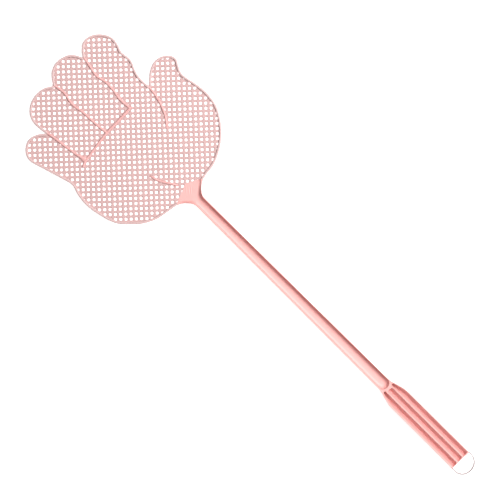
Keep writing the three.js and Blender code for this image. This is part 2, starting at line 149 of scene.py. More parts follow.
# Stretches of the stick, as y in millimetres, over which one shape turns into another.
WALL_CLIMB = (2, -9)  # from the rim's height to the stick's
BACK_ROUNDING = (-1, -8)  # the flat back gets round edges
WALL_SWELL = (0.6, 2)  # from the wall's width to the rim's
FLOOR_SPREAD = (-8.5, -4)  # from the channel's section to the plate's
CHANNEL_SOFTENING = (-212, -216)  # the channel's section gets rounder
GRIP_CLIMB = (-216, -232)  # from the stick's height to the grip's
BACK_LOBES = (-216, -223)  # from the stick's back to the grip's

# Lengths and exponents of the sections.
CREST_DROP = 0.2 * MM  # how far the edges of a wall's crest lie below its middle
BACK_EDGE_RISE = 2.4 * MM  # how far the edges of the stick's back lie above its middle
BACK_SQUARENESS = 2.4
LOBE_EXTRA = 0.55 * MM  # what a lobe's radius has beyond half a trough's pitch
CHANNEL_SQUARENESS = 4
CHANNEL_SOFTER = 1.5  # what the exponent loses at the round end
CHANNEL_END_REACH = 4.1 * MM
CHANNEL_HALF = 4.85 * MM  # the channel grows no wider than this in the collar
NECK_SLOPE = 2.4 * MM  # width of the slope between the neck's floor and its walls
NECK_SLOPE_ROUNDNESS = 2.2
PLATE_FLATTENING = 1.6
END_WALL = 0.5 * MM
TROUGH_ROUND = 1.1 * MM  # length over which the troughs rise to the end wall
OUTER_TROUGH_RISE = 0.8 * MM  # and to the collar
MIDDLE_TROUGH_RISE = 1.3 * MM
TROUGH_FULL_WIDTH = 3.2 * MM  # a narrower outer trough is shallower
RIB_DROP = 0.05 * MM  # how far the ribs lie below the walls
LOOP_BAND = 1 * MM
LOOP_REACH = 8.8 * MM
LOOP_ROOT = 1 * MM  # length of the band that lies inside the grip
RIM_SQUARENESS = 3.2
CREASE_SQUARENESS = 1.9
LOOP_SQUARENESS = 3.4
STROKE_HEIGHT = 0.16 * MM
STROKE_PITCH = 1.9 * MM
STROKE_CENTRE = 4.4 * MM  # y of the strokes' middle
STROKE_HALF_LENGTH = 3 * MM
STROKE_HALF_SPREAD = 3.3 * MM

# Columns of the sheets.
CREST_COLUMNS = 9
CHANNEL_COLUMNS = 61
NECK_FLOOR_COLUMNS = 121
TROUGH_COLUMNS = 37

ROUGHNESS = {
    "moulded_stick": 0.45, "moulded_web_painted_shade": 0.48, "moulded_rim": 0.42, "moulded_crease": 0.42, "moulded_loop_painted_shade": 0.4,
}

# The stage, in metres.
VIEW_CENTRE = (0.00066, -0.0641, 0)
VIEW_TURN = -45.2  # degrees
VIEW_WIDTH = 0.4
CAMERA_HEIGHT = 2.5
FLOOR_DEPTH = 0.4 * MM
FLOOR_SIZE = 8
KEY_OFFSET = (0.705, -0.2625, 1.2)
KEY_SIZE = 0.7
TOP_OFFSET = (0, 0, 2.2)
TOP_SIZE = 1.6
WORLD_LIGHT = 0.23


# ---------------------------------------------------------------- sizes and colours

class SwatterSizes(PropertyGroup):
    """Sizes of the moulding. Heights come from the frame."""

    web_thickness: FloatProperty(
        name="Web thickness", description="Thickness of the perforated web", subtype="DISTANCE",
        unit="LENGTH", default=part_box("mesh_palm")[1].z,
    )
    row_pitch: FloatProperty(
        name="Row pitch", description="Distance between rows of holes", subtype="DISTANCE",
        unit="LENGTH", default=4.12 * MM,
    )
    column_pitch: FloatProperty(
        name="Column pitch", description="Distance between columns of holes", subtype="DISTANCE",
        unit="LENGTH", default=4.18 * MM,
    )
    web_angle: FloatProperty(
        name="Web angle", description="Direction in which the rows follow each other", subtype="ANGLE",
        unit="ROTATION", default=np.radians(46.75),
    )
    hole_side: FloatProperty(
        name="Hole side", description="Side of a hole at its narrowest", subtype="DISTANCE",
        unit="LENGTH", default=2.16 * MM,
    )
    rim_width: FloatProperty(
        name="Rim width", description="Width of the bead round the hand", subtype="DISTANCE",
        unit="LENGTH", default=2 * MM,
    )
    rim_height: FloatProperty(
        name="Rim height", description="Height of the bead round the hand", subtype="DISTANCE",
        unit="LENGTH", default=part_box("rim_thumb")[1].z,
    )
    crease_width: FloatProperty(
        name="Crease width", description="Width of the raised creases", subtype="DISTANCE",
        unit="LENGTH", default=2.1 * MM,
    )
    crease_height: FloatProperty(
        name="Crease height", description="Top of the raised creases", subtype="DISTANCE",
        unit="LENGTH", default=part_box("ridge_thumb")[1].z,
    )
    stick_depth: FloatProperty(
        name="Stick depth", description="Depth of the stick", subtype="DISTANCE",
        unit="LENGTH", default=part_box("stick_channel")[1].z,
    )
    grip_depth: FloatProperty(
        name="Grip depth", description="Depth of the grip", subtype="DISTANCE",
        unit="LENGTH", default=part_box("grip_wall_left")[1].z,
    )
    wall: FloatProperty(
        name="Wall", description="Width of the walls beside the channel and the troughs",
        subtype="DISTANCE", unit="LENGTH", default=0.8 * MM,
    )
    floor: FloatProperty(
        name="Floor", description="Thickness of the plastic under the channel and the troughs",
        subtype="DISTANCE", unit="LENGTH", default=1.3 * MM,
    )
    trough_pitch: FloatProperty(
        name="Trough pitch", description="Distance between the troughs of the grip", subtype="DISTANCE",
        unit="LENGTH", default=6.1 * MM,
    )
    trough_depth: FloatProperty(
        name="Trough depth", description="Depth of the troughs of the grip", subtype="DISTANCE",
        unit="LENGTH", default=4.9 * MM,
    )
    rib_width: FloatProperty(
        name="Rib width", description="Width of the ribs between the troughs", subtype="DISTANCE",
        unit="LENGTH", default=0.3 * MM,
    )
    around: IntProperty(
        name="Bead facets", description="Facets round a bead", default=20, min=8,
    )


class SwatterColours(PropertyGroup):
    """Colours of the moulding."""

    plastic: FloatVectorProperty(
        name="Plastic", description="Colour of the moulded plastic", subtype="COLOR", size=3,
        min=0, max=1, default=(0.76, 0.385, 0.362),
    )
    # Painted shade: the web's colour is a darker, greyer copy of the plastic that stands in for the shade on the
    # thin bars' sloped sides.
    web: FloatVectorProperty(
        name="Web", description="Colour of the plastic in the thin bars", subtype="COLOR", size=3,
        min=0, max=1, default=(0.55, 0.348, 0.338),
    )
    rim: FloatVectorProperty(
        name="Rim", description="Colour of the plastic in the beads", subtype="COLOR", size=3,
        min=0, max=1, default=(0.60, 0.41, 0.40),
    )
    crease: FloatVectorProperty(
        name="Crease", description="Colour of the plastic in the creases", subtype="COLOR", size=3,
        min=0, max=1, default=(0.70, 0.375, 0.36),
    )
    # Painted shade: the loop's colour is a dark, greyish copy of the plastic that stands in for the shade on the
    # thin band's sides.
    loop: FloatVectorProperty(
        name="Loop", description="Colour of the thin band of the loop", subtype="COLOR", size=3,
        min=0, max=1, default=(0.35, 0.285, 0.28),
    )


class SwatterStage(PropertyGroup):
    """Floor and lights."""

    key_power: FloatProperty(
        name="Key power", description="Power of the soft light at the right", subtype="POWER",
        unit="POWER", default=29,
    )
    top_power: FloatProperty(
        name="Top power", description="Power of the soft light overhead", subtype="POWER",
        unit="POWER", default=6.5,
    )
    floor_glow: FloatProperty(
        name="Floor glow", description="Light that the pale floor gives of its own", default=0.7,
    )


# ---------------------------------------------------------------- meshes

def closed_mesh(name, vertices, faces):
    """A mesh from closed shells of quads and triangles, turned outwards: the sum of v0 . (v1 x v2) / 6 over the
    triangles is the volume inside, and all faces are reversed where it is negative."""
    quads = np.asarray(faces)
    corners = vertices[quads]
    volume = sum(
        np.einsum("ij,ij->", corners[:, 0], np.cross(corners[:, k], corners[:, k + 1]))
        for k in range(1, quads.shape[1] - 1)
    )
    if volume < 0:
        quads = quads[:, ::-1]
    rows = [tuple(dict.fromkeys(row)) for row in quads.tolist()]
    mesh = bpy.data.meshes.new(name)
    mesh.from_pydata(vertices.tolist(), [], rows)
    mesh.validate()
    return mesh


def place(name, mesh, material, nodes, sharp_degrees=42):
    """Puts a finished mesh in the scene as a smooth piece that stands for CAD nodes."""
    mesh.shade_smooth()
    mesh.set_sharp_from_angle(angle=np.radians(sharp_degrees))
    mesh.materials.clear()
    mesh.materials.append(material)
    piece = bpy.data.objects.new(name, mesh)
    bpy.context.scene.collection.objects.link(piece)
    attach(piece, "root")
    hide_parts(*nodes)


def wrap_faces(rows, around):
    """Quads of a closed ring of `around` points carried through `rows` rows."""
    ring = np.arange(around)
    following = np.roll(ring, -1)
    start = np.arange(rows - 1)[:, None] * around
    sides = np.stack([start + ring, start + following, start + around + following, start + around + ring], -1)
    return sides.reshape(-1, 4)


def tube(name, rings):
    """Closed skin over rings, an array (rows, around, 3). Each end is closed by a fan to its ring's middle."""
    rows, around = rings.shape[:2]
    ring = np.arange(around)
    following = np.roll(ring, -1)
    first, base = rows * around, (rows - 1) * around
    lids = [
        np.stack([np.full(around, first), following, ring, ring], -1),
        np.stack([np.full(around, first + 1), base + ring, base + following, base + following], -1),
    ]
    middles = [rings[0].mean(0), rings[-1].mean(0)]
    vertices = np.concatenate([rings.reshape(-1, 3), middles])
    return closed_mesh(name, vertices, np.concatenate([wrap_faces(rows, around), *lids]))


def skin(name, front, back):
    """Closed skin of two sheets (rows, columns, 3) that face away from each other. Each ring is a row of the front
    and the same row of the back reversed, and quads from front to back close the first and last ring."""
    rows, columns = front.shape[:2]
    around = 2 * columns
    k = np.arange(columns - 1)
    lid = np.stack([k + 1, k, around - 1 - k, around - 2 - k], -1)
    base = (rows - 1) * around
    vertices = np.concatenate([front, back[:, ::-1]], axis=1).reshape(-1, 3)
    return closed_mesh(name, vertices, np.concatenate([wrap_faces(rows, around), lid, base + lid[:, ::-1]]))


# ---------------------------------------------------------------- lines

def smooth_line(points, spacing=0.8):
    """Centripetal Catmull-Rom curve through the points, in metres, sampled at an even spacing in millimetres.
    Between p1 and p2 it is the cubic with tangents
    m1 = d1 ((p1-p0)/d0 - (p2-p0)/(d0+d1) + (p2-p1)/d1) and m2 likewise, with d the square root of each chord."""
    p = np.asarray(points, float)
    p = np.vstack([2 * p[0] - p[1], p, 2 * p[-1] - p[-2]])
    d = np.sqrt(np.linalg.norm(np.diff(p, axis=0), axis=1))[:, None]
    p0, p1, p2, p3 = p[:-3], p[1:-2], p[2:-1], p[3:]
    d0, d1, d2 = d[:-2], d[1:-1], d[2:]
    m1 = d1 * ((p1 - p0) / d0 - (p2 - p0) / (d0 + d1) + (p2 - p1) / d1)
    m2 = d1 * ((p2 - p1) / d1 - (p3 - p1) / (d1 + d2) + (p3 - p2) / d2)
    t = np.linspace(0, 1, 40, endpoint=False)[None, :, None]
    p1, p2, m1, m2 = (a[:, None, :] for a in (p1, p2, m1, m2))
    dense = p1 + m1 * t + (3 * (p2 - p1) - 2 * m1 - m2) * t**2 + (2 * (p1 - p2) + m1 + m2) * t**3
    dense = np.vstack([dense.reshape(-1, 2), p[-2]])
    length = np.concatenate([[0], np.cumsum(np.linalg.norm(np.diff(dense, axis=0), axis=1))])
    at = np.linspace(0, length[-1], max(2, int(round(length[-1] / spacing)) + 1))
    return np.stack([np.interp(at, length, dense[:, k]) for k in (0, 1)], axis=1) * MM


def along(line):
    """Unit direction of a line at each of its points."""
    step = np.gradient(line, axis=0)
    return step / np.linalg.norm(step, axis=1, keepdims=True)


def rightwards(line):
    """Unit normal to the right of a line: (t_y, -t_x). On the outline it points into the hand."""
    t = along(line)
    return np.stack([t[:, 1], -t[:, 0]], axis=1)


def rim_lines():
    """The outline of each stretch of rim, and the direction into the hand, by name."""
    lines = {}
    for points, rims in RUNS:
        line = smooth_line(points)
        inward = rightwards(line)
        for name, ends in rims.items():
            first, last = (np.argmin(np.linalg.norm(line - np.array(end) * MM, axis=1)) for end in ends)
            lines[name] = (line[first:last + 1], inward[first:last + 1])
    return lines


# ---------------------------------------------------------------- beads

def bead(name, line, normal, middle, half, low, high, squareness, around, round_start, round_end):
    """Bead along a line. At each step its section is the superellipse
    |a / half|^e + |(z - zc) / half_height|^e = 1, with a measured along the normal from `middle`.
    A round end goes on for half a width while the section shrinks as cos(angle)."""
    count = len(line)
    half = np.broadcast_to(half, count)
    low, high = np.broadcast_to(low, count), np.broadcast_to(high, count)
    turn = 2 * np.pi * np.arange(around) / around
    across = np.sign(np.cos(turn)) * np.abs(np.cos(turn)) ** (2 / squareness)
    up = np.sign(np.sin(turn)) * np.abs(np.sin(turn)) ** (2 / squareness)
    direction = along(line)

    def ring(i, shrink, onward):
        """The section at step i, shrunk and carried onward along the line."""
        half_height = (high[i] - low[i]) / 2
        reach = middle + half[i] * shrink * across
        plane = line[i] + direction[i] * onward + normal[i] * reach[..., None]
        height = (high[i] + low[i]) / 2 + half_height * shrink * up
        return np.concatenate([plane, height[..., None]], axis=-1)

    angles = np.radians([80, 60, 40, 20])
    rings = [ring(i, 1, 0) for i in range(count)]
    if round_start:
        rings = [ring(0, np.cos(a), -half[0] * np.sin(a)) for a in angles] + rings
    if round_end:
        last = count - 1
        rings += [ring(last, np.cos(a), half[last] * np.sin(a)) for a in angles[::-1]]
    return tube(name, np.array(rings))


class SWATTER_OT_rim(Operator):
    """Make the raised bead round the hand, one length for each stretch of the outline"""

    bl_idname = "swatter.make_rim"
    bl_label = "Rim"

    def execute(self, context):
        sizes = context.scene.swatter_sizes
        material = plastic_material("moulded_rim", context.scene.swatter_colours.rim)
        half = sizes.rim_width / 2
        for name, (line, inward) in rim_lines().items():
            mesh = bead(
                f"bead_{name}", line, inward, half, half, 0, sizes.rim_height, RIM_SQUARENESS, sizes.around,
                round_start=name not in ("heel_left", "little_finger", "heel_right"),
                round_end=name not in ("heel_left", "thumb", "heel_right"),
            )
            place(f"bead_{name}", mesh, material, [f"rim_{name}"])
        return {"FINISHED"}


class SWATTER_OT_creases(Operator):
    """Make the raised creases that draw the fingers on the web"""

    bl_idname = "swatter.make_creases"
    bl_label = "Creases"

    def execute(self, context):
        sizes = context.scene.swatter_sizes
        material = plastic_material("moulded_crease", context.scene.swatter_colours.crease)
        for name, points in CREASES.items():
            line = smooth_line(points, 0.6)
            share = np.linspace(0, 1, len(line))
            fade = np.ones(len(line))
            if name in FADE_OUT:
                fade *= np.sqrt(np.clip((1 - share) / FADE_OUT[name], FADE_LEAST, 1))
            if name in FADE_IN:
                fade *= np.sqrt(np.clip(share / FADE_IN[name], FADE_LEAST, 1))
            half = sizes.crease_width / 2 * (TIP_WIDTH + (1 - TIP_WIDTH) * fade)
            if name == "little_ring":
                nearing = np.clip(1 - (1 - share) / JUNCTION_LENGTH, 0, 1)
                half = half * (1 + JUNCTION_SWELL * nearing**2)
            low = sizes.web_thickness * CREASE_ROOT
            high = sizes.web_thickness + (sizes.crease_height - sizes.web_thickness) * fade
            mesh = bead(
                f"crease_{name}", line, rightwards(line), CREASE_SHIFT[name] * MM, half, low, high,
                CREASE_SQUARENESS, sizes.around, round_start=True, round_end=True,
            )
            place(f"crease_{name}", mesh, material, [f"ridge_{name}"])
        return {"FINISHED"}


# ---------------------------------------------------------------- the perforated web

LATTICE_CENTRE = (-8.78, 56.78)  # millimetres, the centre of one hole
LATTICE_REACH = 32  # rows and columns on each side of that hole
CELL_POINTS = 16
HOLE_SQUARENESS = 9
CELL_SIDES = {  # step to the neighbour: the points of the outer ring on that side
    (1, 0): (14, 15, 0, 1, 2), (0, 1): (2, 3, 4, 5, 6), (-1, 0): (6, 7, 8, 9, 10), (0, -1): (10, 11, 12, 13, 14),
}
BAR_CUTS = {  # ends of the cuts that follow the middle of a bar, as row and column
    "little_finger": [(-1.46, -9.5), (-12, -9.5)],
    "index_finger": [(8.4, -0.8), (8.5, 5.67)],
    "thumb": [(4.5, 6.45), (4.5, 20)],
}


def lattice(sizes, row, column):
    """Place of a lattice point: centre + row * pitch * (cos, sin) + column * pitch * (sin, -cos)."""
    row, column = np.asarray(row, float), np.asarray(column, float)
    c, s = np.cos(sizes.web_angle), np.sin(sizes.web_angle)
    x = LATTICE_CENTRE[0] * MM + row * sizes.row_pitch * c + column * sizes.column_pitch * s
    y = LATTICE_CENTRE[1] * MM + row * sizes.row_pitch * s - column * sizes.column_pitch * c
    return np.stack([x, y], axis=-1)


def inside(points, outline):
    """True where a point lies inside a closed outline: a ray to the right crosses it an odd number of times."""
    x, y = points[:, None, 0], points[:, None, 1]
    a, b = outline, np.roll(outline, -1, axis=0)
    rise = np.where(b[:, 1] == a[:, 1], 1e-12, b[:, 1] - a[:, 1])
    crosses = (a[:, 1] > y) != (b[:, 1] > y)
    at = a[:, 0] + (y - a[:, 1]) / rise * (b[:, 0] - a[:, 0])
    return (crosses & (x < at)).sum(1) % 2 == 1


def cell_rings(sizes):
    """One cell of the web as rings in units of its half pitches, from front to back, each with a height.
    The outer ring is the square max(|a|, |b|) = 1. The hole is the superellipse |a|^e + |b|^e = h^e, and its front
    edge is eased by two wider rings."""
    turn = 2 * np.pi * np.arange(CELL_POINTS) / CELL_POINTS
    c, s = np.cos(turn), np.sin(turn)
    square = np.stack([c, s], 1) / np.maximum(np.abs(c), np.abs(s))[:, None]
    reach = (np.abs(c) ** HOLE_SQUARENESS + np.abs(s) ** HOLE_SQUARENESS) ** (1 / HOLE_SQUARENESS)
    rounded = np.stack([c, s], 1) / reach[:, None]
    half = 2 * sizes.hole_side / (sizes.row_pitch + sizes.column_pitch)
    top = sizes.web_thickness
    return [
        (square, top),
        (rounded * (half + 0.15), top - 0.03 * MM),
        (rounded * (half + 0.02), top - 0.45 * MM),
        (rounded * half, 0.25 * MM),
        (square, 0),
    ]


def web_sheet(sizes, area, spare):
    """Closed perforated sheet over every cell whose centre is inside `area` or within `spare` cells of it.
    Cell boundaries fall on the middle lines of the bars, so neighbouring cells share their outer points."""
    steps = np.arange(-LATTICE_REACH, LATTICE_REACH + 1)
    row, column = (g.ravel() for g in np.meshgrid(steps, steps, indexing="ij"))
    kept = np.zeros(row.shape, bool)
    for dr in range(-spare, spare + 1):
        for dc in range(-spare, spare + 1):
            kept |= inside(lattice(sizes, row + dr, column + dc), area)
    row, column = row[kept], column[kept]
    rings = cell_rings(sizes)
    points = []
    for shape, height in rings:
        place_of = lattice(sizes, row[:, None] + shape[:, 0] / 2, column[:, None] + shape[:, 1] / 2)
        points.append(np.concatenate([place_of, np.full(place_of.shape[:2] + (1,), height)], axis=-1))
    vertices = np.stack(points, axis=1)
    cells, levels, around = vertices.shape[:3]
    faces = np.arange(cells)[:, None, None] * levels * around + wrap_faces(levels, around)
    walls = border_walls(row, column, levels, around)
    return vertices.reshape(-1, 3), np.concatenate([faces.reshape(-1, 4), walls])


def border_walls(row, column, levels, around):
    """Quads that close the sheet's edge, on each side of a cell that has no neighbour."""
    present = set(zip(row.tolist(), column.tolist()))
    walls = []
    for index, cell in enumerate(zip(row.tolist(), column.tolist())):
        top = index * levels * around
        bottom = top + (levels - 1) * around
        for (dr, dc), corner in CELL_SIDES.items():
            if (cell[0] + dr, cell[1] + dc) not in present:
                walls += [(bottom + a, bottom + b, top + b, top + a) for a, b in zip(corner, corner[1:])]
    return np.array(walls, int).reshape(-1, 4)


def prism(name, outline, low, high):
    """Upright prism over an outline, with one many-sided lid at each end."""
    count = len(outline)
    vertices = np.concatenate([np.c_[outline, np.full(count, low)], np.c_[outline, np.full(count, high)]])
    sides = wrap_faces(2, count).tolist()
    area = np.sum(outline[:, 0] * np.roll(outline[:, 1], -1) - outline[:, 1] * np.roll(outline[:, 0], -1))
    lids = [list(range(count))[::-1], list(range(count, 2 * count))]
    if area < 0:
        sides = [face[::-1] for face in sides]
        lids = [face[::-1] for face in lids]
    mesh = bpy.data.meshes.new(name)
    mesh.from_pydata(vertices.tolist(), [], sides + lids)
    return mesh


def boolean(mesh, tool, operation):
    """The mesh joined with, cut by or kept inside another, as a new mesh."""
    target = bpy.data.objects.new("target", mesh)
    cutter = bpy.data.objects.new("cutter", tool)
    for o in (target, cutter):
        bpy.context.scene.collection.objects.link(o)
    modifier = target.modifiers.new("cut", "BOOLEAN")
    modifier.operation, modifier.solver, modifier.object = operation, "MANIFOLD", cutter
    result = bpy.data.meshes.new_from_object(target.evaluated_get(bpy.context.evaluated_depsgraph_get()))
    for o in (target, cutter):
        bpy.data.objects.remove(o)
    return result


def distinct(points):
    """An outline without points that repeat the one before."""
    keep = np.linalg.norm(points - np.roll(points, 1, axis=0), axis=1) > 1e-6
    return points[keep]


def web_areas(sizes):
    """Plan area of each finger and of the palm. Neighbouring areas have the same points on the line they share."""
    lines = {name: smooth_line(points, 1.2) for name, points in CREASES.items()}
    cuts = {name: lattice(sizes, *zip(*ends)) for name, ends in BAR_CUTS.items()}
    bases, thumb = lines["finger_bases"], lines["thumb"]

    def bases_between(start, end):
        """The part of the crease at the finger bases between two x, in millimetres."""
        return bases[(bases[:, 0] > start * MM) & (bases[:, 0] < end * MM)]

    def corners(*points):
        """Corners given in millimetres."""
        return np.array(points, float) * MM

    thumb_above = thumb[thumb[:, 1] > cuts["index_finger"][1][1] + 0.1 * MM][::-1]
    thumb_to_cut = thumb[thumb[:, 1] > cuts["thumb"][0][1]]
    left_of_ring = bases_between(-42.1, -14.6)
    left_of_middle = bases_between(-14.4, 12.4)
    return {
        "little_finger": [
            corners((-56, 130)), lines["little_ring"], corners((-42.2, 79.6)), cuts["little_finger"],
            corners((-95, 40), (-95, 130)),
        ],
        "ring_finger": [
            corners((-56, 130)), lines["little_ring"], corners((-42.2, 79.6)), left_of_ring,
            lines["ring_middle"][::-1], corners((-19, 155), (-56, 155)),
        ],
        "middle_finger": [
            corners((-19, 155)), lines["ring_middle"], left_of_middle, lines["middle_index"][::-1],
            corners((18, 155)),
        ],
        "index_finger": [
            corners((18, 155)), lines["middle_index"], cuts["index_finger"], thumb_above,
            corners((40, 97), (60, 120), (60, 155)),
        ],
        "thumb": [
            corners((60, 120), (40, 97)), thumb_to_cut, cuts["thumb"], corners((95, 0), (95, 120)),
        ],
        "palm": [
            corners((-95, 40)), cuts["little_finger"][::-1], corners((-42.2, 79.6)), left_of_ring,
            lines["ring_middle"][-1:], left_of_middle, lines["middle_index"][-1:], cuts["index_finger"],
            thumb_to_cut[len(thumb_above):], cuts["thumb"], corners((95, 0), (95, -20), (-95, -20)),
        ],
    }


class SWATTER_OT_web(Operator):
    """Make the perforated web, one sheet for the palm and one for each finger"""

    bl_idname = "swatter.make_web"
    bl_label = "Web"

    def execute(self, context):
        sizes = context.scene.swatter_sizes
        # The web gets the darker copy of the plastic: painted shade on the bars' sloped sides.
        material = plastic_material("moulded_web_painted_shade", context.scene.swatter_colours.web)
        under_rim = 0.5 * sizes.rim_width
        edge = np.concatenate([line + inward * under_rim for line, inward in rim_lines().values()])
        edge = distinct(edge[edge[:, 1] > PALM_START * MM])
        vertices, faces = web_sheet(sizes, edge, 1)
        sheet = closed_mesh("sheet", vertices, faces)
        merge_shared(sheet)
        low, high = -5 * MM, 10 * MM
        sheet = boolean(sheet, prism("hand", edge, low, high), "INTERSECT")
        sheet = boolean(sheet, prism("neck", neck_cut(), low, high), "DIFFERENCE")
        for name, parts in web_areas(sizes).items():
            area = distinct(np.concatenate(parts))
            piece = boolean(sheet.copy(), prism("area", area, low, high), "INTERSECT")
            place(f"web_{name}", piece, material, [f"mesh_{name}"], 50)
        return {"FINISHED"}


def merge_shared(mesh):
    """Joins points that neighbouring cells share."""
    work = bmesh.new()
    work.from_mesh(mesh)
    bmesh.ops.remove_doubles(work, verts=work.verts, dist=0.01 * MM)
    work.to_mesh(mesh)
    work.free()


# ---------------------------------------------------------------- neck, stick and grip

def half_width(y):
    """Half width of the stick and grip at y: the neck's curve, a straight taper, the flare, then constant."""
    neck, flare = smooth_line(NECK_SIDE, 0.2), smooth_line(FLARE_SIDE, 0.2)
    ys = np.concatenate([neck[:, 1], flare[:, 1], [-0.31]])
    xs = np.concatenate([neck[:, 0], flare[:, 0], [flare[-1, 0]]])
    return np.interp(-y, -ys, xs)


def blend(y, stretch):
    """Smooth step from 0 at the start of a stretch to 1 at its end: t^2 (3 - 2t)."""
    start, end = (at * MM for at in stretch)
    t = np.clip((y - start) / (end - start), 0, 1)
    return t * t * (3 - 2 * t)


def top_height(y, sizes):
    """Height of the walls: the rim's at the palm, the stick's, then the grip's."""
    climb = sizes.rim_height + (sizes.stick_depth - sizes.rim_height) * blend(y, WALL_CLIMB)
    return climb + (sizes.grip_depth - sizes.stick_depth) * blend(y, GRIP_CLIMB)


def underside(x, y, width, sizes):
    """Height of the back. On the stick it is e (1 - (1 - |x / W|^p)^(1 / p)); on the grip three arcs
    R - sqrt(R^2 - (x - c)^2) of radius R about the troughs' middle lines; in the collar a blend of both."""
    share = np.clip(np.abs(x) / width[:, None], 0, 1)
    edge = BACK_EDGE_RISE * blend(y, BACK_ROUNDING)[:, None]
    stick = edge * (1 - (1 - share**BACK_SQUARENESS) ** (1 / BACK_SQUARENESS))
    radius = sizes.trough_pitch / 2 + LOBE_EXTRA
    centre = np.clip(np.round(x / sizes.trough_pitch), -1, 1) * sizes.trough_pitch
    lobes = radius - np.sqrt(np.clip(radius**2 - (x - centre) ** 2, 0, None))
    mix = blend(y, BACK_LOBES)[:, None]
    return stick * (1 - mix) + lobes * mix


def sine_steps(count):
    """Steps from -1 to 1 that are closest together at both ends: sin(a), a from -90 to 90 degrees."""
    return np.sin(np.linspace(-np.pi / 2, np.pi / 2, count))


def crest(left, right, height):
    """Rounded top of a wall: x from left to right, z = height - drop (1 - sqrt(1 - t^2)), t from -1 to 1."""
    t = sine_steps(CREST_COLUMNS)[None, :]
    x = (left + right)[:, None] / 2 + (right - left)[:, None] / 2 * t
    return x, height[:, None] - CREST_DROP * (1 - np.sqrt(1 - t**2))


def hollow(left, right, height, depth, past, squareness):
    """Round-ended hollow between two walls: depth (1 - r^p)^(1/p), with r^2 = q^2 + past^2. Across it q runs from
    -1 to 1, and `past` grows from 0, where the middle line ends, to 1 at the rounded end."""
    q = sine_steps(CHANNEL_COLUMNS)[None, :]
    x = (left + right)[:, None] / 2 + (right - left)[:, None] / 2 * q
    r = np.clip(np.sqrt(q**2 + past[:, None] ** 2), 0, 1)
    bowl = (1 - r ** squareness) ** (1 / squareness)
    return x, height[:, None] - CREST_DROP - depth[:, None] * bowl


def furrow(left, right, height, depth, past):
    """Trough with round shoulders between two ribs: depth (1 + cos(pi r)) / 2, with r as in a hollow."""
    q = np.linspace(-1, 1, TROUGH_COLUMNS)[None, :]
    x = (left + right)[:, None] / 2 + (right - left)[:, None] / 2 * q
    r = np.clip(np.sqrt(q**2 + past[:, None] ** 2), 0, 1)
    return x, height[:, None] - CREST_DROP - depth[:, None] * (1 + np.cos(np.pi * r)) / 2


def shell(name, y, front, sizes):
    """Closed skin of a straight length: pieces of front side by side, and the underside."""
    x, z = (
        np.concatenate([piece[k][:, :-1] for piece in front[:-1]] + [front[-1][k]], axis=1) for k in range(2)
    )
    width = half_width(y)
    back_x = width[:, None] * sine_steps(x.shape[1])[None, :]
    back_z = underside(back_x, y, width, sizes)
    along_y = np.broadcast_to(y[:, None], x.shape)
    return skin(name, np.stack([x, along_y, z], -1), np.stack([back_x, along_y, back_z], -1))


def channel_front(y, sizes):
    """Front of the stick and collar: a wall, the channel and a wall."""
    width = half_width(y)
    edge = np.minimum(width - sizes.wall, CHANNEL_HALF)
    height = top_height(y, sizes)
    depth = height - CREST_DROP - sizes.floor
    past = np.clip(CHANNEL_END * MM - y, 0, None) / CHANNEL_END_REACH
    squareness = (CHANNEL_SQUARENESS - CHANNEL_SOFTER * blend(y, CHANNEL_SOFTENING))[:, None]
    return [
        crest(-width, -edge, height),
        hollow(-edge, edge, height, depth, past, squareness),
        crest(edge, width, height),
    ]


def rows_between(*stretches):
    """Row places from stretches (start, end, spacing) in millimetres, each point once."""
    parts = [np.linspace(a, b, int(round(abs(b - a) / step)) + 1) for a, b, step in stretches]
    y = np.concatenate(parts) * MM
    return y[np.concatenate([[True], np.abs(np.diff(y)) > 1e-7])]


class SWATTER_OT_neck(Operator):
    """Make the neck: the plain plate where the palm runs into the stick, and the walls that climb beside it"""

    bl_idname = "swatter.make_neck"
    bl_label = "Neck"

    def execute(self, context):
        sizes = context.scene.swatter_sizes
        material = plastic_material("moulded_stick", context.scene.swatter_colours.plastic)
        nodes = ["neck_plate", "neck_wall_left", "neck_wall_right"]
        place("neck", neck_skin(sizes), material, nodes)
        return {"FINISHED"}


